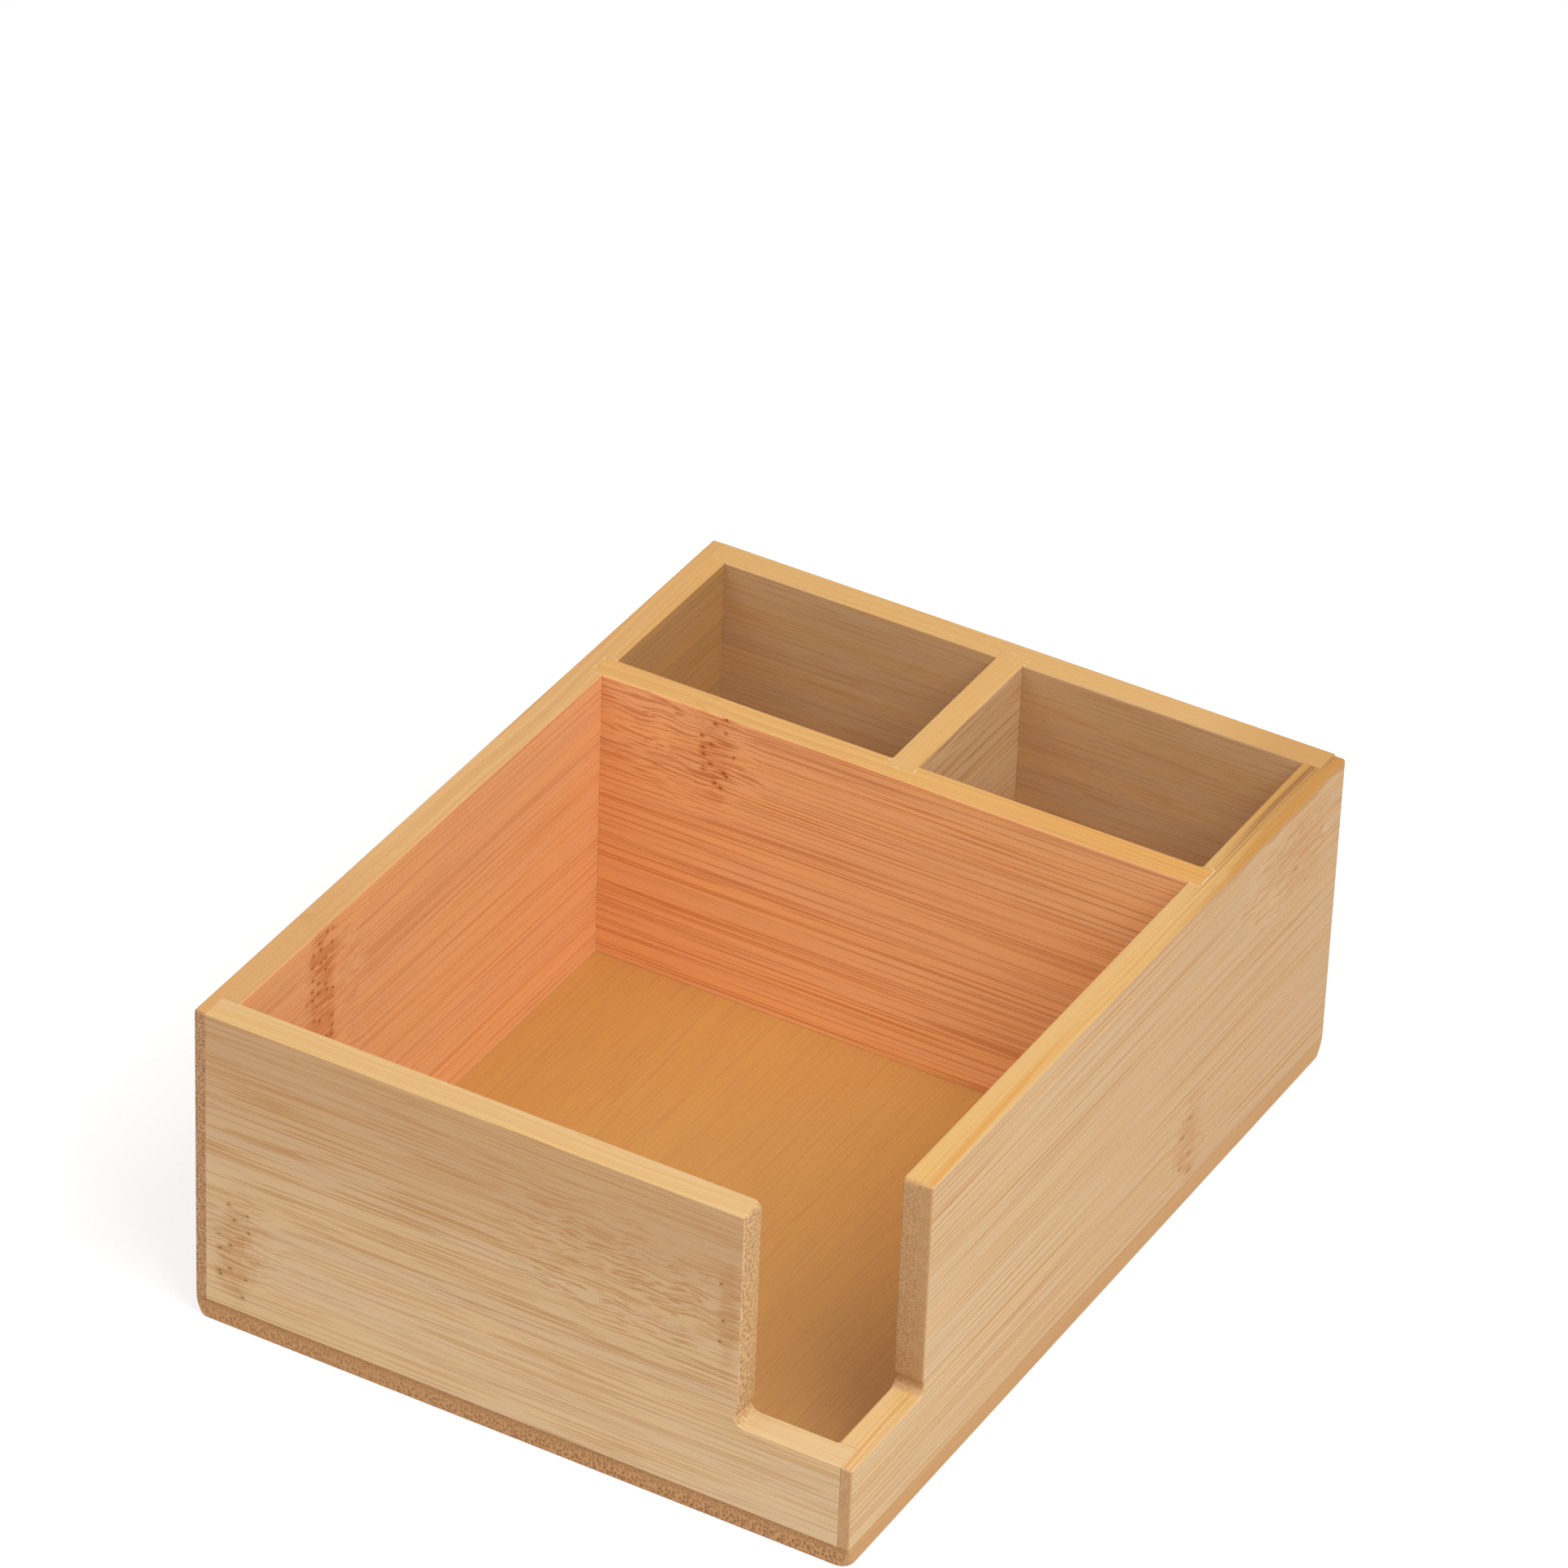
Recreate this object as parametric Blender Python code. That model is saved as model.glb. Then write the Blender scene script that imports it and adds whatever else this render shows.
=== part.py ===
"""Open bamboo cutlery box for the table: seven boards, glued.

A nearly square well fills the front. Behind it, two smaller wells lie side by side. The rim is cut down
at the front right corner, so that a hand can reach into the front well.

The end walls sit in rabbets in the side walls, whose thin lips cover their ends. The cross divider is
housed in both side walls, and the short divider in the cross divider and in the back wall.

Units are metres. +X runs to the right along the front wall, +Y to the back and +Z up. The origin is
the middle of the base board's underside.
"""

import math

import bmesh
import bpy

# Wells, measured clear between the boards
FRONT_WELL_DEPTH = 0.1368
REAR_WELL_DEPTH = 0.0438
REAR_LEFT_WELL_WIDTH = 0.0653
REAR_RIGHT_WELL_WIDTH = 0.0653
WELL_HEIGHT = 0.0702

# Boards
BASE_THICKNESS = 0.0048
SIDE_WALL_THICKNESS = 0.0066
END_WALL_THICKNESS = 0.0066
CROSS_DIVIDER_THICKNESS = 0.0062
SHORT_DIVIDER_THICKNESS = 0.0062

# Joints
LIP_THICKNESS = 0.0025
HOUSING_DEPTH = 0.0026
FIT_GAP = 0.0003

# Corner cut-out, measured from the outer faces of the box and up from the top of the base board
CUT_ALONG_FRONT = 0.0255
CUT_ALONG_SIDE = 0.0274
SILL_HEIGHT = 0.0196
SILL_FILLET = 0.0022
SILL_OVERCUT = 0.0006
SHOULDER_RADIUS = 0.0006

# Sanded edges of the uprights, and of the base board, whose corners grow rounder towards the underside
UPRIGHT_EASE = 0.0005
BASE_EDGE_EASE = 0.0004
BASE_CORNER_RADIUS = 0.0030
BASE_CORNER_TOP_RADIUS = 0.0005

# Smoothness of the curves
ARC_STEPS = 8
EASE_STEPS = 2
CORNER_LEVELS = 6

# Worked out from the sizes above
INNER_WIDTH = REAR_LEFT_WELL_WIDTH + SHORT_DIVIDER_THICKNESS + REAR_RIGHT_WELL_WIDTH
INNER_DEPTH = FRONT_WELL_DEPTH + CROSS_DIVIDER_THICKNESS + REAR_WELL_DEPTH
BOX_WIDTH = INNER_WIDTH + 2 * SIDE_WALL_THICKNESS
BOX_DEPTH = INNER_DEPTH + 2 * END_WALL_THICKNESS
LEFT = -BOX_WIDTH / 2
RIGHT = BOX_WIDTH / 2
FRONT = -BOX_DEPTH / 2
BACK = BOX_DEPTH / 2
INNER_LEFT = LEFT + SIDE_WALL_THICKNESS
INNER_RIGHT = RIGHT - SIDE_WALL_THICKNESS
INNER_BACK = BACK - END_WALL_THICKNESS
CROSS_FRONT = FRONT + END_WALL_THICKNESS + FRONT_WELL_DEPTH
CROSS_BACK = CROSS_FRONT + CROSS_DIVIDER_THICKNESS
SHORT_LEFT = INNER_LEFT + REAR_LEFT_WELL_WIDTH
SHORT_RIGHT = SHORT_LEFT + SHORT_DIVIDER_THICKNESS
BOARD_FOOT = BASE_THICKNESS + FIT_GAP
BOARD_HEIGHT = WELL_HEIGHT - FIT_GAP
CUTTER_REACH = SIDE_WALL_THICKNESS

# Finish of each board: sRGB colour and roughness
FINISHES = {
    "base_board": ("B98A60", 0.52),
    "front_wall": ("D2AF84", 0.48),
    "back_wall": ("CFA877", 0.48),
    "left_wall": ("D0AA78", 0.48),
    "right_wall": ("D8B68A", 0.48),
    "cross_divider": ("DDAE70", 0.46),
    "short_divider": ("DAAA6C", 0.46),
}


def linear(channel):
    """One sRGB channel, 0 to 1, as linear light."""
    if channel <= 0.04045:
        return channel / 12.92
    return ((channel + 0.055) / 1.055) ** 2.4


def bamboo(board_name):
    code, roughness = FINISHES[board_name]
    channels = [int(code[i : i + 2], 16) / 255 for i in (0, 2, 4)]
    material = bpy.data.materials.new(board_name + "_bamboo")
    material.use_nodes = True
    shader = material.node_tree.nodes["Principled BSDF"]
    shader.inputs["Base Color"].default_value = [linear(c) for c in channels] + [1.0]
    shader.inputs["Roughness"].default_value = roughness
    shader.inputs["Metallic"].default_value = 0.0
    return material


def add_board(name, bm, location, box):
    """Makes a named board of a bmesh and stands it at its place in the box."""
    bmesh.ops.recalc_face_normals(bm, faces=bm.faces[:])
    mesh = bpy.data.meshes.new(name)
    bm.to_mesh(mesh)
    bm.free()
    mesh.materials.append(bamboo(name))
    mesh.shade_smooth()
    mesh.set_sharp_from_angle(angle=math.radians(30))
    board = bpy.data.objects.new(name, mesh)
    bpy.context.scene.collection.objects.link(board)
    board.location = location
    board.parent = box
    return board


def arc(centre, radius, start, end, steps=ARC_STEPS):
    """Points along a circle's arc, from one angle to another in degrees."""
    angles = [math.radians(start + (end - start) * i / steps) for i in range(steps + 1)]
    return [(centre[0] + radius * math.cos(a), centre[1] + radius * math.sin(a)) for a in angles]


def straight_elevation(length, end_ease=None):
    """Outline of a plain board as (point, ease of the edge that follows it), anticlockwise from its foot."""
    return [
        ((0, 0), None),
        ((length, 0), end_ease),
        ((length, BOARD_HEIGHT), "both"),
        ((0, BOARD_HEIGHT), end_ease),
    ]


def stepped_elevation(length, cut_length, end_ease=None):
    """Outline of a wall whose far end is cut down to the sill.

    A round cutter shaped the foot of the cut, so its fillet bites a little past the cut's upright line.
    The shoulder at the top of the cut is sanded round.
    """
    sill = SILL_HEIGHT - FIT_GAP
    cut = length - cut_length
    centre = (cut + SILL_FILLET - SILL_OVERCUT, sill + SILL_FILLET)
    bite = math.degrees(math.acos(1 - SILL_OVERCUT / SILL_FILLET))
    foot = arc(centre, SILL_FILLET, 270, 180 - bite)
    centre = (cut - SHOULDER_RADIUS, BOARD_HEIGHT - SHOULDER_RADIUS)
    shoulder = arc(centre, SHOULDER_RADIUS, 0, 90, EASE_STEPS)
    outline = [((0, 0), None), ((length, 0), end_ease), ((length, sill), "both")]
    outline += [(point, "both") for point in foot + shoulder]
    outline.append(((0, BOARD_HEIGHT), end_ease))
    return outline


def mirrored(elevation, length):
    """The same outline with its two ends swapped."""
    return [((length - point[0], point[1]), ease) for point, ease in elevation]


def upright(name, elevation, direction, thickness, outer, location, box):
    """Extrudes an elevation through a board's thickness and rounds its eased edges.

    direction is the axis that the board runs along. outer is the face that looks out of the box, near
    or far, and an ease of "outer" rounds an edge on that face alone, where "both" rounds both faces.
    """
    bm = bmesh.new()
    rings = {}
    for face, depth in (("near", 0.0), ("far", thickness)):
        places = [(run, depth, z) if direction == "X" else (depth, run, z) for (run, z), _ in elevation]
        rings[face] = [bm.verts.new(place) for place in places]
        bm.faces.new(rings[face])
    eased = []
    for i, (_, ease) in enumerate(elevation):
        j = (i + 1) % len(elevation)
        bm.faces.new((rings["near"][i], rings["near"][j], rings["far"][j], rings["far"][i]))
        for face, ring in rings.items():
            if ease == "both" or (ease == "outer" and face == outer):
                eased.append(bm.edges.get((ring[i], ring[j])))
    bmesh.ops.bevel(
        bm,
        geom=eased,
        offset=min(UPRIGHT_EASE, thickness / 4),
        segments=EASE_STEPS,
        profile=0.5,
        affect="EDGES",
        clamp_overlap=True,
    )
    # Triangles take the joint cuts cleanly, where faces of many corners don't
    bmesh.ops.triangulate(bm, faces=bm.faces[:])
    return add_board(name, bm, location, box)


def cut_recess(board, name, low, high, box):
    """Cuts a box-shaped recess, given by its lowest and highest corners, out of a board."""
    bm = bmesh.new()
    bmesh.ops.create_cube(bm, size=1.0)
    for vertex in bm.verts:
        for axis in range(3):
            vertex.co[axis] = high[axis] if vertex.co[axis] > 0 else low[axis]
    mesh = bpy.data.meshes.new(name)
    bm.to_mesh(mesh)
    bm.free()
    cutter = bpy.data.objects.new(name, mesh)
    bpy.context.scene.collection.objects.link(cutter)
    cutter.parent = box
    cutter.hide_render = True
    cutter.display_type = "WIRE"
    recess = board.modifiers.new(name, "BOOLEAN")
    recess.operation = "DIFFERENCE"
    recess.solver = "EXACT"
    recess.object = cutter


def base_outline(inset, radius):
    """Rounded rectangle of the base board, drawn in by an inset."""
    across = BOX_WIDTH / 2 - inset - radius
    along = BOX_DEPTH / 2 - inset - radius
    corners = ((across, -along, 270), (across, along, 0), (-across, along, 90), (-across, -along, 180))
    points = []
    for x, y, start in corners:
        points += arc((x, y), radius, start, start + 90)
    return points


def base_levels():
    """(height, inset, corner radius) of each outline of the base board, from the underside up.

    The radius is top + (bottom - top)(1 - sin a), with a from 0 to 90 degrees over the thickness, so
    that the corner runs smoothly into the walls' upright edges.
    """
    places = []
    for i in range(EASE_STEPS + 1):
        angle = math.radians(90 * i / EASE_STEPS)
        places.append((BASE_EDGE_EASE * (1 - math.cos(angle)), BASE_EDGE_EASE * (1 - math.sin(angle))))
    for i in range(1, CORNER_LEVELS + 1):
        places.append((BASE_EDGE_EASE + (BASE_THICKNESS - BASE_EDGE_EASE) * i / CORNER_LEVELS, 0.0))
    levels = []
    for height, inset in places:
        growth = 1 - math.sin(math.radians(90 * height / BASE_THICKNESS))
        radius = BASE_CORNER_TOP_RADIUS + (BASE_CORNER_RADIUS - BASE_CORNER_TOP_RADIUS) * growth
        levels.append((height, inset, radius - inset))
    return levels


def make_base_board(box):
    """Lofts the base board through its outlines. It lies under all the walls, flush with their faces."""
    bm = bmesh.new()
    rings = []
    for height, inset, radius in base_levels():
        rings.append([bm.verts.new((x, y, height)) for x, y in base_outline(inset, radius)])
    for lower, upper in zip(rings, rings[1:]):
        for i in range(len(lower)):
            j = (i + 1) % len(lower)
            bm.faces.new((lower[i], lower[j], upper[j], upper[i]))
    bm.faces.new(rings[0])
    bm.faces.new(rings[-1])
    add_board("base_board", bm, (0, 0, 0), box)


def make_end_walls(box):
    """Front and back walls, which lie between the side walls' lips."""
    start = LEFT + LIP_THICKNESS + FIT_GAP
    length = BOX_WIDTH - 2 * (LIP_THICKNESS + FIT_GAP)
    cut_length = CUT_ALONG_FRONT - LIP_THICKNESS - FIT_GAP
    elevation = stepped_elevation(length, cut_length)
    upright("front_wall", elevation, "X", END_WALL_THICKNESS, "near", (start, FRONT, BOARD_FOOT), box)
    elevation = straight_elevation(length)
    place = (start, INNER_BACK, BOARD_FOOT)
    back = upright("back_wall", elevation, "X", END_WALL_THICKNESS, "far", place, box)
    low = (SHORT_LEFT - FIT_GAP, INNER_BACK - CUTTER_REACH, BOARD_FOOT - CUTTER_REACH)
    high = (SHORT_RIGHT + FIT_GAP, INNER_BACK + HOUSING_DEPTH, BOARD_FOOT + WELL_HEIGHT + CUTTER_REACH)
    cut_recess(back, "back_wall_housing", low, high, box)


def cut_side_wall_joints(wall, lip_face, housing_face, past_inner_face, box):
    """Cuts a rabbet at each end of a side wall, and the cross divider's housing between them.

    Each face is an X place: the lip's inner face, the housing's floor, and one past the wall's own
    inner face.
    """
    foot = BOARD_FOOT - CUTTER_REACH
    top = BOARD_FOOT + WELL_HEIGHT + CUTTER_REACH
    shoulder = END_WALL_THICKNESS + FIT_GAP
    recesses = (
        ("front_rabbet", lip_face, FRONT - CUTTER_REACH, FRONT + shoulder),
        ("back_rabbet", lip_face, BACK - shoulder, BACK + CUTTER_REACH),
        ("housing", housing_face, CROSS_FRONT - FIT_GAP, CROSS_BACK + FIT_GAP),
    )
    for joint, floor, start, end in recesses:
        low = (min(floor, past_inner_face), start, foot)
        high = (max(floor, past_inner_face), end, top)
        cut_recess(wall, wall.name + "_" + joint, low, high, box)


def make_side_walls(box):
    elevation = straight_elevation(BOX_DEPTH, "outer")
    left = upright("left_wall", elevation, "Y", SIDE_WALL_THICKNESS, "near", (LEFT, FRONT, BOARD_FOOT), box)
    floor = INNER_LEFT - HOUSING_DEPTH
    cut_side_wall_joints(left, LEFT + LIP_THICKNESS, floor, INNER_LEFT + CUTTER_REACH, box)
    elevation = mirrored(stepped_elevation(BOX_DEPTH, CUT_ALONG_SIDE, "outer"), BOX_DEPTH)
    place = (INNER_RIGHT, FRONT, BOARD_FOOT)
    right = upright("right_wall", elevation, "Y", SIDE_WALL_THICKNESS, "far", place, box)
    floor = INNER_RIGHT + HOUSING_DEPTH
    cut_side_wall_joints(right, RIGHT - LIP_THICKNESS, floor, INNER_RIGHT - CUTTER_REACH, box)


def make_dividers(box):
    """Cross divider, housed in both side walls, and the short divider behind it."""
    start = INNER_LEFT - HOUSING_DEPTH + FIT_GAP
    length = INNER_WIDTH + 2 * (HOUSING_DEPTH - FIT_GAP)
    place = (start, CROSS_FRONT, BOARD_FOOT)
    elevation = straight_elevation(length)
    cross = upright("cross_divider", elevation, "X", CROSS_DIVIDER_THICKNESS, "near", place, box)
    low = (SHORT_LEFT - FIT_GAP, CROSS_BACK - HOUSING_DEPTH, BOARD_FOOT - CUTTER_REACH)
    high = (SHORT_RIGHT + FIT_GAP, CROSS_BACK + CUTTER_REACH, BOARD_FOOT + WELL_HEIGHT + CUTTER_REACH)
    cut_recess(cross, "cross_divider_housing", low, high, box)
    start = CROSS_BACK - HOUSING_DEPTH + FIT_GAP
    length = REAR_WELL_DEPTH + 2 * (HOUSING_DEPTH - FIT_GAP)
    place = (SHORT_LEFT, start, BOARD_FOOT)
    upright("short_divider", straight_elevation(length), "Y", SHORT_DIVIDER_THICKNESS, "near", place, box)


def main():
    for item in list(bpy.data.objects):
        bpy.data.objects.remove(item, do_unlink=True)
    box = bpy.data.objects.new("cutlery_box", None)
    bpy.context.scene.collection.objects.link(box)
    make_base_board(box)
    make_end_walls(box)
    make_side_walls(box)
    make_dividers(box)


main()
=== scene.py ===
"""How the cutlery box looks: seven boards of bare, satin bamboo on a pale floor.

Each board stands in the place of the CAD board of the same name, with finer eased edges and tighter
joints. Bamboo is a bundle of fibres that all run along the culm, so one solid pattern gives the dots on
a cut end, the streaks on a face and the fine lines on a rim.

Units are metres. The grain is laid out in millimetres.
"""

import math

import bmesh
import bpy
import numpy as np
from mathutils import Matrix, Vector


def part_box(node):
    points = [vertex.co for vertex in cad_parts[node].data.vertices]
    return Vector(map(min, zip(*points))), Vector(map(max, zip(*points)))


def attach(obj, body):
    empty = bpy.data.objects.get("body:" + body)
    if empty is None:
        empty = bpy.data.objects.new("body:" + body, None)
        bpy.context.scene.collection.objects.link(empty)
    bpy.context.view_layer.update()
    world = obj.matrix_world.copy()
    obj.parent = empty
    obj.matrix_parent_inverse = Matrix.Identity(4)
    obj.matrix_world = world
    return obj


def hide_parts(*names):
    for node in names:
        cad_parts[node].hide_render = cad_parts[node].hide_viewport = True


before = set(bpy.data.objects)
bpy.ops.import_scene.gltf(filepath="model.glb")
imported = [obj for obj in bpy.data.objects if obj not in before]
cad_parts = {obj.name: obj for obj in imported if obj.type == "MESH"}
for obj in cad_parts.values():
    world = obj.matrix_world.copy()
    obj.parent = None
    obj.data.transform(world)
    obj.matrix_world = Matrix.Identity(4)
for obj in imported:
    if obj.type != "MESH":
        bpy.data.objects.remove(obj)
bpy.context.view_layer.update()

MM = 0.001

# Corner cut-out and joints, as in the CAD
CUT_ALONG_FRONT = 25.5 * MM
CUT_ALONG_SIDE = 27.4 * MM
SILL_HEIGHT = 19.6 * MM
SILL_FILLET = 2.2 * MM
SILL_OVERCUT = 0.6 * MM
LIP_THICKNESS = 2.5 * MM
HOUSING_DEPTH = 2.6 * MM

# Edges and joints of the finished box, finer than the CAD's
EASE = 0.42 * MM
CRISP = 0.6 * MM
WORN_FRONT = 1.9 * MM
WORN_SIDE = 1.3 * MM
END_CORNER = 0.6 * MM
BACK_RIGHT_CORNER = 1.3 * MM
GLUE_LINE = 0.04 * MM

# Shares of EASE on the sides of a board, and the length over which one gives way to the other
SHARP = 0.05
EASED = 1.0
TAPER = 0.3 * MM

# Base board's upright corners, which grow rounder towards the underside
BASE_EDGE_EASE = 0.4 * MM
BASE_CORNER_RADIUS = 3.0 * MM
BASE_CORNER_TOP_RADIUS = 0.5 * MM

# How the meshes are made. SUPPORT is the width of a strip beside an eased edge, which keeps the flat
# beyond it flat. BENT is the sine of the turn from which a corner is mitred, and SMOOTH_ANGLE is the
# largest turn that is shaded smooth.
EASE_STEPS = 5
ARC_STEPS = 12
SUPPORT = 0.13 * MM
SAME_POINT = 0.001 * MM
CUTTER_REACH = 8.0 * MM
BENT = 0.3
SMOOTH_ANGLE = math.radians(32)

# Places of the boards, as the CAD has them
BASE_LOW, BASE_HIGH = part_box("base_board")
FRONT_LOW, FRONT_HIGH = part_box("front_wall")
BACK_LOW, BACK_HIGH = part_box("back_wall")
LEFT_LOW, LEFT_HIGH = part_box("left_wall")
RIGHT_LOW, RIGHT_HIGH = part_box("right_wall")
CROSS_LOW, CROSS_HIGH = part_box("cross_divider")
SHORT_LOW, SHORT_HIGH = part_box("short_divider")
FOOT = BASE_HIGH.z + GLUE_LINE
RIM = LEFT_HIGH.z
SILL = BASE_HIGH.z + SILL_HEIGHT
IN_RABBET = LEFT_HIGH.x - LEFT_LOW.x - LIP_THICKNESS
RABBET_FLOOR = RIGHT_HIGH.x - LIP_THICKNESS
SHORT_HOUSING = (SHORT_LOW.x - GLUE_LINE, SHORT_HIGH.x + GLUE_LINE)

# The dividers with their housed ends, as (low, high) corners of the plan
CROSS_PLAN = ((LEFT_HIGH.x - HOUSING_DEPTH, CROSS_LOW.y), (RIGHT_LOW.x + HOUSING_DEPTH, CROSS_HIGH.y))
SHORT_PLAN = ((SHORT_LOW.x, CROSS_HIGH.y - HOUSING_DEPTH), (SHORT_HIGH.x, BACK_LOW.y + HOUSING_DEPTH))


# Shapes of the boards


def arc(centre, radius, start, end, steps=ARC_STEPS):
    """Points centre + radius (cos a, sin a), with a running evenly from start to end in degrees."""
    a = np.radians(np.linspace(start, end, steps + 1))
    return np.stack([centre[0] + radius * np.cos(a), centre[1] + radius * np.sin(a)], axis=1)


def mitres(outline, shares):
    """Shift of each corner when every side is drawn in by its own share of one unit.

    The shift v meets both sides' inward normals: v . n_before = share_before and v . n_after =
    share_after. Where the sides run on nearly straight, v is their mean normal times the larger share.
    """
    step = np.roll(outline, -1, axis=0) - outline
    step /= np.linalg.norm(step, axis=1, keepdims=True)
    after = np.stack([-step[:, 1], step[:, 0]], axis=1)
    before = np.roll(after, 1, axis=0)
    share_before = np.roll(shares, 1)
    turn = before[:, 0] * after[:, 1] - before[:, 1] * after[:, 0]
    bent = np.abs(turn) > BENT
    run = share_before * after[:, 1] - shares * before[:, 1]
    rise = shares * before[:, 0] - share_before * after[:, 0]
    corner = np.stack([run, rise], axis=1) / np.where(bent, turn, 1.0)[:, None]
    mean = before + after
    mean /= (mean * mean).sum(axis=1, keepdims=True) / 2
    straight = mean * np.maximum(share_before, shares)[:, None]
    return np.where(bent[:, None], corner, straight)


def elevation(start, end, hidden=0.0, corners=(0.0, 0.0), cut=None, shoulder=CRISP):
    """Side view of a board as (points, ease of each side on the inner face, and on the outer face).

    It runs from start to end, anticlockwise from its foot. hidden is the length at each end that lies
    in a joint, where the inner top edge stays sharp. corners are the radii of rounded top corners, 0
    for an end that lies in a joint. With a cut, the wall steps down there to the sill: a round cutter
    left a fillet that bites a little past the cut's line, and the shoulder above it is rounded.
    """
    runs = []

    def add(points, inner, outer):
        points = np.atleast_2d(np.array(points, float))
        runs.append((points, np.full(len(points), inner), np.full(len(points), outer)))

    low_top = RIM if cut is None else SILL
    first, last = corners
    add((start, FOOT), SHARP, SHARP)
    add((end, FOOT), SHARP, EASED if last else SHARP)
    if last:
        add(arc((end - last, low_top - last), last, 0, 90), EASED, EASED)
    else:
        add((end, low_top), SHARP, EASED)
    if hidden:
        add((end - hidden, low_top), SHARP, EASED)
        add((end - hidden - TAPER, low_top), EASED, EASED)
    if cut is not None:
        bite = math.degrees(math.acos(1 - SILL_OVERCUT / SILL_FILLET))
        centre = (cut + SILL_FILLET - SILL_OVERCUT, SILL + SILL_FILLET)
        add(arc(centre, SILL_FILLET, 270, 180 - bite), EASED, EASED)
        add(arc((cut - shoulder, RIM - shoulder), shoulder, 0, 90), EASED, EASED)
    if hidden:
        add([(start + hidden + TAPER, RIM), (start + hidden, RIM)], SHARP, EASED)
    if first:
        add(arc((start + first, RIM - first), first, 90, 180), EASED, EASED)
        runs[-1][1][-1] = SHARP
    else:
        add((start, RIM), SHARP, SHARP)
    return [np.concatenate(part) for part in zip(*runs)]


def turned(side_view):
    """The same side view with its two ends swapped about 0. A side's share moves with the side."""
    points, inner, outer = side_view
    return [points[::-1] * (-1, 1), np.roll(inner[::-1], -1), np.roll(outer[::-1], -1)]


def stations(thickness):
    """(inset, depth) of the rings across a board, from its near face to its far face.

    A quarter circle of radius EASE joins each face to the edge: inset = r (1 - sin a) and
    depth = r (1 - cos a), for a from 0 to 90 degrees. One more ring beyond each end keeps the flats flat.
    """
    a = np.radians(np.linspace(0, 90, EASE_STEPS + 1))
    inset = np.concatenate([[EASE + SUPPORT], EASE * (1 - np.sin(a)), [0.0]])
    depth = np.concatenate([[0.0], EASE * (1 - np.cos(a)), [EASE + SUPPORT]])
    return np.concatenate([inset, inset[::-1]]), np.concatenate([depth, thickness - depth[::-1]])


def closed_piece(name, rings):
    """A piece whose skin joins each ring of points to the next, with the first and last ring filled.

    Seen from the last ring's side, the rings run anticlockwise, so the faces look outwards.
    """
    levels, around, _ = rings.shape
    at = np.arange(levels * around).reshape(levels, around)
    onward = np.roll(at, -1, axis=1)
    sides = np.stack([at[:-1], onward[:-1], onward[1:], at[1:]], axis=-1).reshape(-1, 4)
    faces = sides.tolist() + [at[0][::-1].tolist(), at[-1].tolist()]
    mesh = bpy.data.meshes.new(name)
    mesh.from_pydata(rings.reshape(-1, 3).tolist(), [], faces)
    bm = bmesh.new()
    bm.from_mesh(mesh)
    bmesh.ops.remove_doubles(bm, verts=bm.verts[:], dist=SAME_POINT)
    bmesh.ops.triangulate(bm, faces=bm.faces[:])
    bm.to_mesh(mesh)
    bm.free()
    piece = bpy.data.objects.new(name, mesh)
    bpy.context.scene.collection.objects.link(piece)
    return piece


def upright(name, direction, side_view_at, outer, low, high):
    """A board as its side view carried across its thickness, from the place low to the place high.

    The point at ring m and place n is outline_n(share_m) + inset_m mitre_n, at depth_m. side_view_at
    gives the side view at a share of the way from low to high, and outer is the face that looks out.
    """
    inset, depth = stations(high - low)
    views = [side_view_at(d / (high - low)) for d in depth]
    points = np.stack([view[0] for view in views])
    _, inner_shares, outer_shares = views[0]
    near_shares, far_shares = outer_shares, inner_shares
    if outer == "far":
        near_shares, far_shares = far_shares, near_shares
    near, far = mitres(points[0], near_shares), mitres(points[-1], far_shares)
    shift = np.where((depth < (high - low) / 2)[:, None, None], near, far)
    flat = points + inset[:, None, None] * shift
    across = np.broadcast_to((low + depth)[:, None], flat.shape[:2])
    if direction == "X":
        rings = np.stack([flat[..., 0], across, flat[..., 1]], axis=-1)[:, ::-1]
    else:
        rings = np.stack([across, flat[..., 0], flat[..., 1]], axis=-1)
    return closed_piece(name, rings)


def cut_joints(piece, recesses):
    """Cuts recesses as tall as the box out of a piece. A recess is its range of X and its range of Y."""
    corners = []
    faces = []
    for x_range, y_range in recesses:
        at = len(corners)
        z_range = (FOOT - CUTTER_REACH, RIM + CUTTER_REACH)
        corners += [(x, y, z) for x in sorted(x_range) for y in sorted(y_range) for z in z_range]
        sides = [(0, 1, 3, 2), (4, 6, 7, 5), (0, 4, 5, 1), (2, 3, 7, 6), (0, 2, 6, 4), (1, 5, 7, 3)]
        faces += [[at + i for i in side] for side in sides]
    mesh = bpy.data.meshes.new("joints")
    mesh.from_pydata(corners, [], faces)
    cutter = bpy.data.objects.new("joints", mesh)
    bpy.context.scene.collection.objects.link(cutter)
    cut = piece.modifiers.new("joints", "BOOLEAN")
    cut.operation = "DIFFERENCE"
    cut.solver = "EXACT"
    cut.object = cutter
    shown = piece.evaluated_get(bpy.context.evaluated_depsgraph_get())
    piece.data = bpy.data.meshes.new_from_object(shown)
    piece.modifiers.clear()
    bpy.data.objects.remove(cutter)


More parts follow.
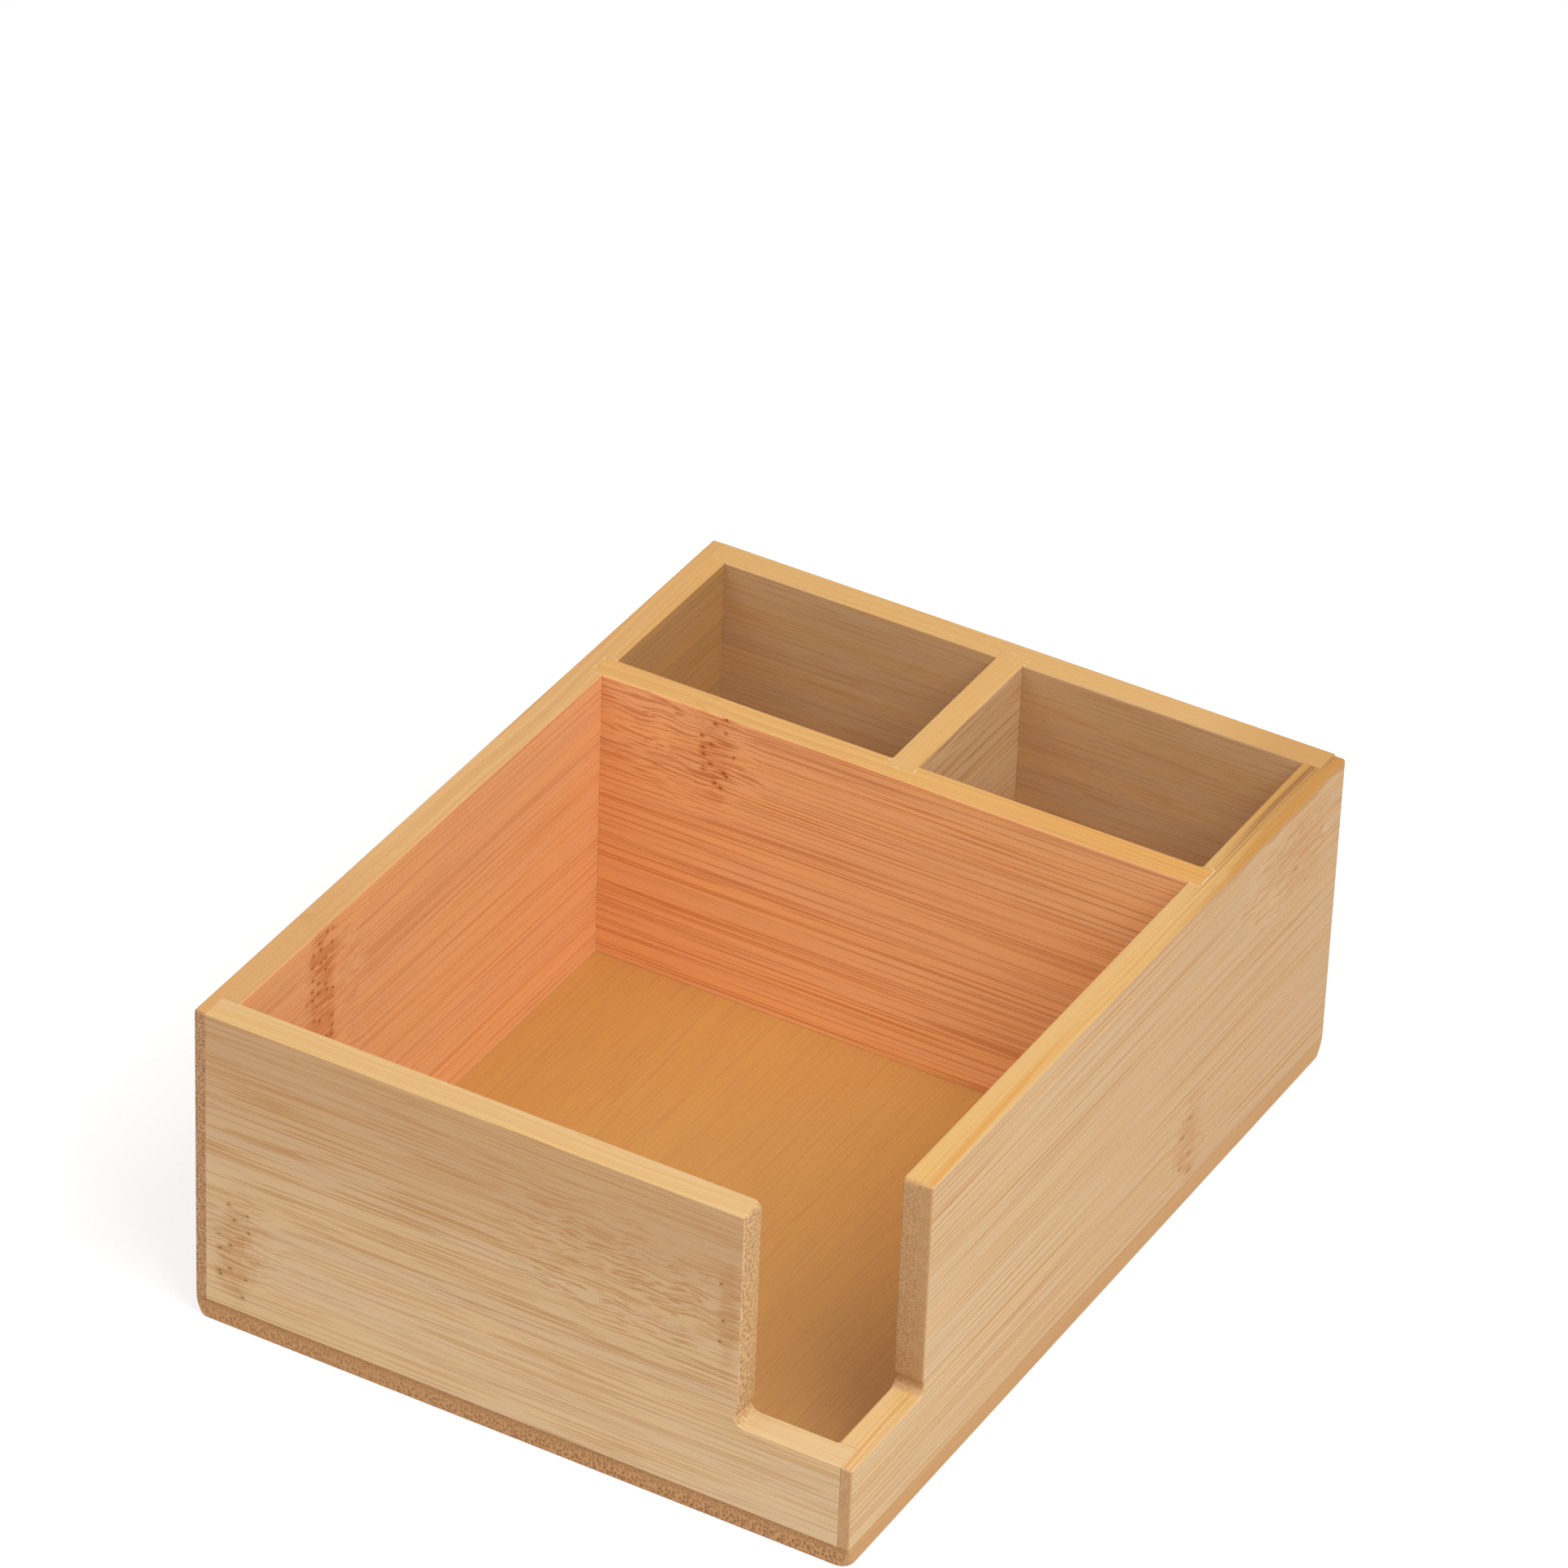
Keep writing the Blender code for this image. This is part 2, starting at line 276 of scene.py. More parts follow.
def make_base():
    """The base board, through levels of a rounded rectangle.

    A point is the corner's centre plus radius (cos a, sin a). The radius is top + (bottom - top)
    (1 - sin b), with b from 0 to 90 degrees over the thickness, less the inset of the underside's edge,
    which is a quarter circle.
    """
    a = np.radians(np.linspace(0, 90, EASE_STEPS + 1))
    thickness = BASE_HIGH.z - BASE_LOW.z
    above = np.linspace(BASE_EDGE_EASE, thickness, 3 * EASE_STEPS)[1:]
    inset = np.concatenate([BASE_EDGE_EASE * (1 - np.sin(a)), np.zeros(len(above))])
    height = np.concatenate([BASE_EDGE_EASE * (1 - np.cos(a)), above])
    growth = 1 - np.sin(np.radians(90 * height / thickness))
    radius = BASE_CORNER_TOP_RADIUS + (BASE_CORNER_RADIUS - BASE_CORNER_TOP_RADIUS) * growth - inset
    rings = []
    for corner, (right, back) in enumerate(((1, -1), (1, 1), (-1, 1), (-1, -1))):
        turn = np.radians(np.linspace(0, 90, ARC_STEPS + 1) + 90 * (corner - 1))
        x = right * (BASE_HIGH.x - inset - radius)[:, None] + radius[:, None] * np.cos(turn)
        y = back * (BASE_HIGH.y - inset - radius)[:, None] + radius[:, None] * np.sin(turn)
        z = np.broadcast_to((BASE_LOW.z + height)[:, None], x.shape)
        rings.append(np.stack([x, y, z], axis=-1))
    return closed_piece("base_piece", np.concatenate(rings, axis=1))


def make_front():
    """The front wall. The rim's shoulder at the cut is crisp outside and worn round inside."""
    end = RABBET_FLOOR - GLUE_LINE
    cut = BASE_HIGH.x - CUT_ALONG_FRONT

    def side_view_at(share):
        shoulder = CRISP + (WORN_FRONT - CRISP) * share
        return elevation(-end, end, hidden=IN_RABBET, cut=cut, shoulder=shoulder)

    return upright("front_piece", "X", side_view_at, "near", FRONT_LOW.y, FRONT_HIGH.y)


def make_back():
    end = RABBET_FLOOR - GLUE_LINE
    side_view = elevation(-end, end, hidden=IN_RABBET)
    piece = upright("back_piece", "X", lambda share: side_view, "far", BACK_LOW.y, BACK_HIGH.y)
    floor = BACK_LOW.y + HOUSING_DEPTH
    cut_joints(piece, [(SHORT_HOUSING, (BACK_LOW.y - CUTTER_REACH, floor))])
    return piece


def cut_side_joints(piece, lip, floor, past):
    """Cuts both end rabbets and the cross divider's housing out of a side wall.

    lip is the X place of the inner face of the lips that are left, floor that of the housing's floor, and
    past a place beyond the wall's own inner face.
    """
    front_rabbet = ((lip, past), (FRONT_LOW.y - CUTTER_REACH, FRONT_HIGH.y + GLUE_LINE))
    back_rabbet = ((lip, past), (BACK_LOW.y - GLUE_LINE, BACK_HIGH.y + CUTTER_REACH))
    housing = ((floor, past), (CROSS_LOW.y - GLUE_LINE, CROSS_HIGH.y + GLUE_LINE))
    cut_joints(piece, [front_rabbet, back_rabbet, housing])


def make_left():
    side_view = elevation(LEFT_LOW.y, LEFT_HIGH.y, corners=(END_CORNER, END_CORNER))
    piece = upright("left_piece", "Y", lambda share: side_view, "near", LEFT_LOW.x, LEFT_HIGH.x)
    floor = LEFT_HIGH.x - HOUSING_DEPTH
    cut_side_joints(piece, LEFT_LOW.x + LIP_THICKNESS, floor, LEFT_HIGH.x + CUTTER_REACH)
    return piece


def make_right():
    """The right wall, cut down at its front end. It is worn round inside, as the front wall is."""
    cut = -RIGHT_LOW.y - CUT_ALONG_SIDE

    def side_view_at(share):
        shoulder = WORN_SIDE + (CRISP - WORN_SIDE) * share
        corners = (BACK_RIGHT_CORNER, END_CORNER)
        side_view = elevation(-RIGHT_HIGH.y, -RIGHT_LOW.y, corners=corners, cut=cut, shoulder=shoulder)
        return turned(side_view)

    piece = upright("right_piece", "Y", side_view_at, "far", RIGHT_LOW.x, RIGHT_HIGH.x)
    floor = RIGHT_LOW.x + HOUSING_DEPTH
    cut_side_joints(piece, RABBET_FLOOR, floor, RIGHT_LOW.x - CUTTER_REACH)
    return piece


def both_eased(side_view):
    """A side view whose outer face has the same eased sides as its inner face."""
    points, inner, _ = side_view
    return [points, inner, inner]


def make_cross():
    end = RIGHT_LOW.x + HOUSING_DEPTH - GLUE_LINE
    side_view = both_eased(elevation(-end, end, hidden=HOUSING_DEPTH))
    piece = upright("cross_piece", "X", lambda share: side_view, "near", CROSS_LOW.y, CROSS_HIGH.y)
    floor = CROSS_HIGH.y - HOUSING_DEPTH
    cut_joints(piece, [(SHORT_HOUSING, (floor, CROSS_HIGH.y + CUTTER_REACH))])
    return piece


def make_short():
    start = CROSS_HIGH.y - HOUSING_DEPTH + GLUE_LINE
    end = BACK_LOW.y + HOUSING_DEPTH - GLUE_LINE
    side_view = both_eased(elevation(start, end, hidden=HOUSING_DEPTH))
    return upright("short_piece", "Y", lambda share: side_view, "near", SHORT_LOW.x, SHORT_HIGH.x)


# Writing shader nodes


def colour(code):
    """An sRGB colour code as linear light."""
    channels = np.array([int(code[i : i + 2], 16) / 255 for i in (0, 2, 4)])
    light = np.where(channels <= 0.04045, channels / 12.92, ((channels + 0.055) / 1.055) ** 2.4)
    return (*light.tolist(), 1.0)


class Wiring:
    """Adds nodes to a tree. A value is a number, a colour, a vector or another node's output."""

    def __init__(self, tree):
        self.tree = tree

    def put(self, socket, value):
        if isinstance(value, bpy.types.NodeSocket):
            self.tree.links.new(value, socket)
        else:
            socket.default_value = value

    def node(self, kind, values=None, **settings):
        made = self.tree.nodes.new("ShaderNode" + kind)
        for name, setting in settings.items():
            setattr(made, name, setting)
        for key, value in (values or {}).items():
            self.put(made.inputs[key], value)
        return made

    def math(self, operation, *values):
        return self.node("Math", dict(enumerate(values)), operation=operation).outputs[0]

    def vectors(self, operation, *values):
        return self.node("VectorMath", dict(enumerate(values)), operation=operation).outputs[0]

    def parts(self, vector):
        return tuple(self.node("SeparateXYZ", {0: vector}).outputs)

    def vector(self, x, y, z):
        return self.node("CombineXYZ", {0: x, 1: y, 2: z}).outputs[0]

    def fade(self, value, start, end, low=0.0, high=1.0):
        """low at start and high at end, with a smooth step between them."""
        values = {0: value, 1: start, 2: end, 3: low, 4: high}
        return self.node("MapRange", values, interpolation_type="SMOOTHSTEP").outputs[0]

    def blend(self, share, one, other):
        """The first value where share is 0 and the second where it is 1."""
        return self.node("MapRange", {0: share, 3: one, 4: other}).outputs[0]

    def mix(self, share, one, other, blend_type="MIX"):
        """The first colour where share is 0 and the second where it is 1."""
        values = {0: share, 6: one, 7: other}
        return self.node("Mix", values, data_type="RGBA", blend_type=blend_type).outputs[2]

    def length(self, vector):
        return self.node("VectorMath", {0: vector}, operation="LENGTH").outputs["Value"]

    def noise(self, place, stretch=None, detail=0.0, roughness=0.5):
        """Noise at a place, which is first multiplied by a stretch on each axis, if one is given."""
        at = place if stretch is None else self.vectors("MULTIPLY", place, stretch)
        values = {"Vector": at, "Scale": 1.0, "Detail": detail, "Roughness": roughness}
        return self.node("TexNoise", values).outputs["Fac"]

    def sway(self, place, stretch, height, detail=0.0):
        """Noise about 0, from half a height below it to half a height above it."""
        centred = self.math("SUBTRACT", self.noise(place, stretch, detail), 0.5)
        return self.math("MULTIPLY", centred, height)

    def cells(self, place, randomness):
        """Distance to the middle of the nearest cell of a plane, and that cell's random number."""
        values = {"Vector": place, "Scale": 1.0, "Randomness": randomness}
        found = self.node("TexVoronoi", values, voronoi_dimensions="2D", feature="F1").outputs
        return found["Distance"], self.parts(found["Color"])[0]

    def group(self, tree, values):
        made = self.node("Group", node_tree=tree)
        for key, value in values.items():
            self.put(made.inputs[key], value)
        return made.outputs


def new_group(name, inputs, outputs):
    """A node group with named inputs, as name: default, and outputs, as name: socket type."""
    tree = bpy.data.node_groups.new(name, "ShaderNodeTree")
    for label, default in inputs.items():
        kind = "Float" if isinstance(default, float) else ("Vector" if len(default) == 3 else "Color")
        socket = tree.interface.new_socket(label, in_out="INPUT", socket_type="NodeSocket" + kind)
        socket.default_value = default
    for label, kind in outputs.items():
        tree.interface.new_socket(label, in_out="OUTPUT", socket_type="NodeSocket" + kind)
    given = tree.nodes.new("NodeGroupInput").outputs
    result = tree.nodes.new("NodeGroupOutput").inputs
    return tree, Wiring(tree), given, result


# Bamboo, with the lengths of its grain in millimetres

# How far a slow noise shifts the streaks along the grain, how far the grain waves round a node, how far a
# rim's plies wander, how long a dash is, and how much of a cell of noise a streak takes
START_SHIFT = 70.0
WAVE_HEIGHT = 2.2
PLY_WANDER = 6.0
DASH_LENGTH = 6.0
STREAK_SHARE = 0.6

# The cells that hold the bundles of fibres are wider through the board than across it, in the ratio 1 to
# their flatness. Their scatter is how far the bundles stray from an even grid, from 0 to 1.
BUNDLE_FLATNESS = 0.8
BUNDLE_SCATTER = 0.8

# How far a noise shakes the outline of a node's band, in units of its reach
KNOT_SHAKE = 1.6

# How far a strip's random number moves its pattern at most, and how far each unit of a board's seed does
STRIP_MOVE = 700.0
SEED_MOVE = 13.7

# The glue seam between two strips of a board, the filler round a housed end, and the worn top edge
SEAM_EDGE = 0.16
SEAM_CORE = 0.05
SEAM_STRENGTH = 0.25
FILLER_WIDTH = 0.35
FILLER_START = 0.005
WORN_REACH = 2.3
WORN_CORE = 1.0
WORN_SHAKE = 5.0

# How far the tone drifts, tints that turn the wood's hue slowly, and the grain's relief, in metres
TONE_DRIFT = 0.24
WARMER = (1.01, 1.0, 0.89, 1.0)
COOLER = (0.98, 1.0, 1.04, 1.0)
BUMP_STRENGTH = 0.3
BUMP_DISTANCE = 0.1 * MM

# Axes of the box, the parts of a place in a board, and a reach past both of its faces
X, Y, Z = 0, 1, 2
ALONG, ACROSS, THROUGH = 0, 1, 2
THROUGH_ALL = 100.0


def make_streak_group():
    """Streaks where the fibres meet a face: noise drawn out along the grain.

    A slow noise shifts the place along the grain, so that the streaks don't start in line. Where Bend
    is high the grain waves and the noise is drawn out less, which leaves short dashes, as round a node of
    the culm. Plies is drawn out most, and gives the long lines of a rim, which wander slowly across it.
    """
    inputs = {"Place": (0.0, 0.0, 0.0), "Bend": 0.0, "Width": 0.25, "Length": 25.0, "Dash Width": 0.25}
    tree, w, given, result = new_group("bamboo_streaks", inputs, {"Streaks": "Float", "Plies": "Float"})
    place = given["Place"]
    along, across, through = w.parts(place)
    along = w.math("MULTIPLY_ADD", w.noise(place, (0.01, 0.35, 0.35)), START_SHIFT, along)
    wave_height = w.math("MULTIPLY", given["Bend"], WAVE_HEIGHT)
    across = w.math("ADD", across, w.sway(place, (0.13, 0.1, 0.1), wave_height))
    ply_at = w.math("MULTIPLY_ADD", w.noise(place, (0.014, 0.0, 0.0), detail=1.0), PLY_WANDER, through)

    def drawn_out(length, width):
        narrow = w.math("DIVIDE", STREAK_SHARE, width)
        side = [w.math("MULTIPLY", part, narrow) for part in (across, through)]
        return w.noise(w.vector(w.math("DIVIDE", along, length), *side), detail=1.0)

    streak = drawn_out(given["Length"], given["Width"])
    dash = drawn_out(DASH_LENGTH, given["Dash Width"])
    w.put(result["Streaks"], w.blend(given["Bend"], streak, dash))
    plies = w.noise(w.vector(along, 0.0, ply_at), (0.006, 0.0, 2.3), detail=2.0, roughness=0.6)
    w.put(result["Plies"], plies)
    return tree


def make_dot_group():
    """Bundles of fibres as a cut end shows them: each is the middle of a cell of the cross-section.

    The distance is in cells, and the lot is that bundle's random number.
    """
    inputs = {"Place": (0.0, 0.0, 0.0), "Spacing": 1.0}
    tree, w, given, result = new_group("bamboo_bundles", inputs, {"Distance": "Float", "Lot": "Float"})
    _, across, through = w.parts(given["Place"])
    flat = w.vector(across, w.math("MULTIPLY", through, BUNDLE_FLATNESS), 0.0)
    cell_size = w.vector(given["Spacing"], given["Spacing"], 1.0)
    distance, lot = w.cells(w.vectors("DIVIDE", flat, cell_size), BUNDLE_SCATTER)
    w.put(result["Distance"], distance)
    w.put(result["Lot"], lot)
    return tree


def make_knot_group():
    """A node of the culm: a band across the grain with dark pits, and a soft halo round each pit.

    The band is full where the distance from Middle, in units of Reach and shaken by a noise, is below
    about a third, and fades out by 1.1. Strength scales the band alone. The pits are the middles of some
    cells, drawn out along the grain by Pit Length. One column of cells runs across the grain through
    Middle, and Pit Scatter sets how far the pits stray from it.
    """
    inputs = {
        "Place": (0.0, 0.0, 0.0),
        "Middle": (0.0, 0.0, 0.0),
        "Reach": (5.0, 15.0, 1.0),
        "Strength": 1.0,
        "Pit Spacing": 2.2,
        "Pit Share": 0.5,
        "Pit Scatter": 1.0,
        "Pit Radius": 0.38,
        "Pit Length": 1.4,
    }
    outputs = {"Band": "Float", "Pits": "Float", "Halo": "Float"}
    tree, w, given, result = new_group("culm_node", inputs, outputs)
    place = w.vectors("MULTIPLY", given["Place"], (1.0, 1.0, 0.15))
    from_middle = w.vectors("SUBTRACT", place, given["Middle"])
    along, across, _ = w.parts(w.vectors("DIVIDE", from_middle, given["Reach"]))
    along = w.math("ADD", along, w.sway(place, (0.2, 0.2, 0.2), KNOT_SHAKE, detail=2.0))
    square = w.math("MULTIPLY_ADD", along, along, w.math("MULTIPLY", across, across))
    band = w.fade(w.math("SQRT", square), 1.1, 0.35)

    x, y, _ = w.parts(from_middle)
    flat = w.vector(w.math("DIVIDE", x, given["Pit Length"]), y, 0.0)
    cell_at = w.vectors("ADD", w.vectors("DIVIDE", flat, given["Pit Spacing"]), (0.5, 0.5, 0.0))
    distance, lot = w.cells(cell_at, given["Pit Scatter"])
    chosen = w.math("MULTIPLY", w.math("LESS_THAN", lot, given["Pit Share"]), w.fade(band, 0.15, 0.5))
    away = w.math("MULTIPLY", distance, given["Pit Spacing"])
    core = w.math("MULTIPLY", given["Pit Radius"], 0.3)
    halo = w.math("MULTIPLY", given["Pit Radius"], 2.6)
    w.put(result["Band"], w.math("MULTIPLY", band, given["Strength"]))
    w.put(result["Pits"], w.math("MULTIPLY", w.fade(away, given["Pit Radius"], core), chosen))
    w.put(result["Halo"], w.math("MULTIPLY", w.fade(away, halo, core), chosen))
    return tree


def make_filler_group():
    """Filler squeezed out round a housed end: a broken line outside a rectangle of the plan.

    The distance is the length of how far the place lies outside the rectangle, in X and in Y.
    """
    inputs = {"Low": (0.0, 0.0, 0.0), "High": (0.0, 0.0, 0.0)}
    tree, w, given, result = new_group("joint_filler", inputs, {"Line": "Float"})
    position = w.vectors("DIVIDE", w.node("TexCoord").outputs["Object"], (MM, MM, MM))
    below = w.vectors("SUBTRACT", given["Low"], position)
    above = w.vectors("SUBTRACT", position, given["High"])
    outside = w.vectors("MAXIMUM", w.vectors("MAXIMUM", below, above), (0.0, 0.0, 0.0))
    away = w.length(w.vectors("MULTIPLY", outside, (1.0, 1.0, 0.0)))
    near = w.fade(away, FILLER_WIDTH, FILLER_WIDTH / 2)
    broken = w.fade(w.noise(position, (0.6, 0.6, 0.6), detail=1.0), 0.4, 0.6)
    begun = w.math("GREATER_THAN", away, FILLER_START)
    w.put(result["Line"], w.math("MULTIPLY", w.math("MULTIPLY", near, broken), begun))
    return tree


def split_strips(w, given):
    """The place in the grain of each glued strip, the strip's random number and a mask of the seams."""
    across = w.parts(given["Place"])[ACROSS]
    strip_at = w.math("DIVIDE", w.math("SUBTRACT", across, given["Strip Start"]), given["Strip Width"])
    strip_number = w.math("ADD", w.math("FLOOR", strip_at), given["Seed"])
    lot = w.node("TexWhiteNoise", {"W": strip_number}, noise_dimensions="1D").outputs["Value"]
    strip_move = w.math("MULTIPLY", lot, STRIP_MOVE)
    moved = w.vector(strip_move, 0.0, w.math("MULTIPLY", given["Seed"], SEED_MOVE))
    from_seam = w.math("MULTIPLY", w.math("PINGPONG", strip_at, 0.5), given["Strip Width"])
    seam = w.math("MULTIPLY", w.fade(from_seam, SEAM_EDGE, SEAM_CORE), SEAM_STRENGTH)
    return w.vectors("ADD", given["Place"], moved), lot, seam


def body_colour(w, given, grain, lot):
    """The wood between the lines, whose hue turns slowly a little warmer and cooler.

    A face runs from pale to tan by strip and by a slow drift, and a rim has nearly its own colour.
    """
    drift = w.math("ADD", w.sway(grain, (0.008, 0.09, 0.09), TONE_DRIFT, detail=2.0), 0.5)
    strip_tone = w.math("MULTIPLY", w.math("SUBTRACT", lot, 0.5), given["Strip Contrast"])
    tone = w.math("ADD", w.math("ADD", strip_tone, drift), given["Tone"])
    tan_share = w.node("MapRange", {0: tone, 1: 0.1, 2: 0.9}).outputs[0]
    body = w.mix(tan_share, given["Pale"], given["Tan"])
    body = w.mix(w.math("MULTIPLY", given["Rims"], 0.85), body, given["Rim Colour"])
    hue = w.noise(grain, (0.011, 0.26, 0.26), detail=1.0)
    body = w.mix(w.fade(hue, 0.45, 0.7, 0.0, given["Hue Contrast"]), body, WARMER, "MULTIPLY")
    return w.mix(w.fade(hue, 0.55, 0.3, 0.0, given["Hue Contrast"]), body, COOLER, "MULTIPLY")


def draw_lines(w, given, grain, streaks, body):
    """The body with streaks on a face or plies on a rim, and the mask of these lines.

    The streaks are stronger in some patches than in others. The plies set in at Ply Start and grow
    stronger towards the skin.
    """
    patches = w.fade(w.noise(grain, (0.02, 0.2, 0.2), detail=1.0), 0.3, 0.6, 0.78, 1.02)
    strength = w.math("MULTIPLY", given["Streaks"], w.math("MULTIPLY_ADD", given["Bend"], 0.12, patches))
    streak = w.math("MULTIPLY", w.fade(streaks["Streaks"], 0.49, 0.6), strength)
    faint = w.math("MULTIPLY", streak, w.math("MULTIPLY_ADD", given["Bend"], 0.6, 0.3))
    dense = w.fade(given["Skin"], given["Ply Start"], w.math("ADD", given["Ply Start"], 0.4))
    strength = w.math("MULTIPLY", dense, given["Rim Streaks"])
    plies = w.math("MULTIPLY", w.fade(streaks["Plies"], 0.48, 0.58), strength)
    lines = w.blend(given["Rims"], streak, w.math("MAXIMUM", plies, faint))
    line_colour = w.mix(given["Rims"], given["Streak Colour"], given["Rim Line Colour"])
    return w.mix(lines, body, line_colour), lines


def draw_dots(w, given, grain, dot_group, body):
    """A cut end with its dots, and the mask of the dots. Near the skin they are smaller and closer."""
    sizes = []
    for spacing in (given["Dot Spacing"], w.math("MULTIPLY", given["Dot Spacing"], 0.6)):
        bundles = w.group(dot_group, {"Place": grain, "Spacing": spacing})
        strength = w.fade(bundles["Lot"], 0.0, 1.0, 0.55, 1.0)
        sizes.append(w.math("MULTIPLY", w.fade(bundles["Distance"], 0.56, 0.22), strength))
    dots = w.blend(w.fade(given["Skin"], 0.5, 0.9), *sizes)
    blotch = w.noise(grain, (0.0, 0.4, 0.4), detail=2.0)
    end = w.mix(w.fade(blotch, 0.3, 0.7, 0.0, 0.35), given["End Colour"], body)
    return w.mix(w.math("MULTIPLY", dots, given["Dots"]), end, given["Dot Colour"]), dots


def make_bamboo_group(streak_group, dot_group):
    """Colour, roughness and height of a bamboo board.

    The board is glued up from strips, each from another part of the culm, so a random lot per strip
    moves the pattern and the tone. Ends is 1 on a cut end, Rims on a top edge and Edges on an eased edge.
    Skin runs from 0 at the pith face to 1 at the skin face.
    """
    inputs = {
        "Place": (0.0, 0.0, 0.0),
        "Skin": 0.0,
        "Ends": 0.0,
        "Rims": 0.0,
        "Edges": 0.0,
        "Bend": 0.0,
        "Band": 0.0,
        "Pits": 0.0,
        "Halo": 0.0,
        "Filler": 0.0,
        "Worn": 0.0,
        "Tone": 0.0,
        "Strip Width": 21.0,
        "Strip Start": 13.0,
        "Strip Contrast": 0.15,
        "Hue Contrast": 1.0,
        "Seed": 0.0,
        "Streak Width": 0.25,
        "Streak Length": 25.0,
        "Dash Width": 0.25,
        "Streaks": 0.8,
        "Rim Streaks": 0.6,
        "Ply Start": 0.3,
        "Dot Spacing": 0.8,
        "Dots": 0.75,
        "Pale": (0.7, 0.5, 0.3, 1.0),
        "Tan": (0.6, 0.4, 0.2, 1.0),
        "Streak Colour": (0.4, 0.2, 0.1, 1.0),
        "Rim Colour": (0.8, 0.5, 0.2, 1.0),
        "Rim Line Colour": (0.4, 0.2, 0.05, 1.0),
        "End Colour": (0.5, 0.3, 0.2, 1.0),
        "Dot Colour": (0.2, 0.1, 0.05, 1.0),
        "Pit Colour": (0.13, 0.06, 0.025, 1.0),
        "Filler Colour": (0.76, 0.55, 0.3, 1.0),
        "Worn Colour": (0.5, 0.25, 0.05, 1.0),
    }
    outputs = {"Color": "Color", "Roughness": "Float", "Height": "Float"}
    tree, w, given, result = new_group("bamboo", inputs, outputs)
    grain, lot, seam = split_strips(w, given)
    body = body_colour(w, given, grain, lot)
    streak_values = {
        "Place": grain,
        "Bend": given["Bend"],
        "Width": given["Streak Width"],
        "Length": given["Streak Length"],
        "Dash Width": given["Dash Width"],
    }
    streaks = w.group(streak_group, streak_values)
    face, lines = draw_lines(w, given, grain, streaks, body)
    end, dots = draw_dots(w, given, grain, dot_group, body)

    off_rims = w.math("SUBTRACT", 1.0, given["Rims"])
    hatch = w.math("MULTIPLY", given["Band"], w.fade(streaks["Streaks"], 0.42, 0.55, 0.3, 1.0))
    halo = w.math("MULTIPLY", given["Halo"], 0.75)
    for mask in (w.math("MULTIPLY", hatch, off_rims), w.math("MULTIPLY", halo, off_rims), seam):
        face = w.mix(mask, face, given["Streak Colour"])
    surface = w.mix(given["Ends"], face, end)
    pits = w.math("MULTIPLY", given["Pits"], w.math("MULTIPLY", off_rims, 0.8))
    surface = w.mix(pits, surface, given["Pit Colour"])
    # Eased edges lean a little towards the rim colour: partly the paler sanded wood, partly a painted
    # highlight.
    surface = w.mix(w.math("MULTIPLY", given["Edges"], 0.3), surface, given["Rim Colour"])
    surface = w.mix(given["Worn"], surface, given["Worn Colour"])
    surface = w.mix(w.math("MULTIPLY", given["Filler"], given["Rims"]), surface, given["Filler Colour"])

    rough = w.math("MULTIPLY_ADD", given["Ends"], 0.12, w.math("MULTIPLY_ADD", lines, 0.06, 0.46))
    height = w.math("MULTIPLY_ADD", streaks["Streaks"], -0.4, w.math("MULTIPLY", given["Pits"], -1.0))
    height = w.math("MULTIPLY_ADD", w.math("MULTIPLY", dots, given["Ends"]), -0.3, height)
    w.put(result["Color"], surface)
    w.put(result["Roughness"], rough)
    w.put(result["Height"], height)
    return tree


def board_place(w, grain, faces):
    """Place in the board: along the grain, up or across it, and from the pith face to the skin face."""
    axis, pith, skin = faces
    position = w.parts(w.node("TexCoord").outputs["Object"])
    rest = ({X, Y, Z} - {grain, axis}).pop()
    along = w.math("DIVIDE", position[grain], MM)
    across = w.math("DIVIDE", position[rest], MM)
    from_pith = w.math("SUBTRACT", position[axis], pith)
    through = w.math("MULTIPLY", from_pith, math.copysign(1 / MM, skin - pith))
    return w.vector(along, across, through)


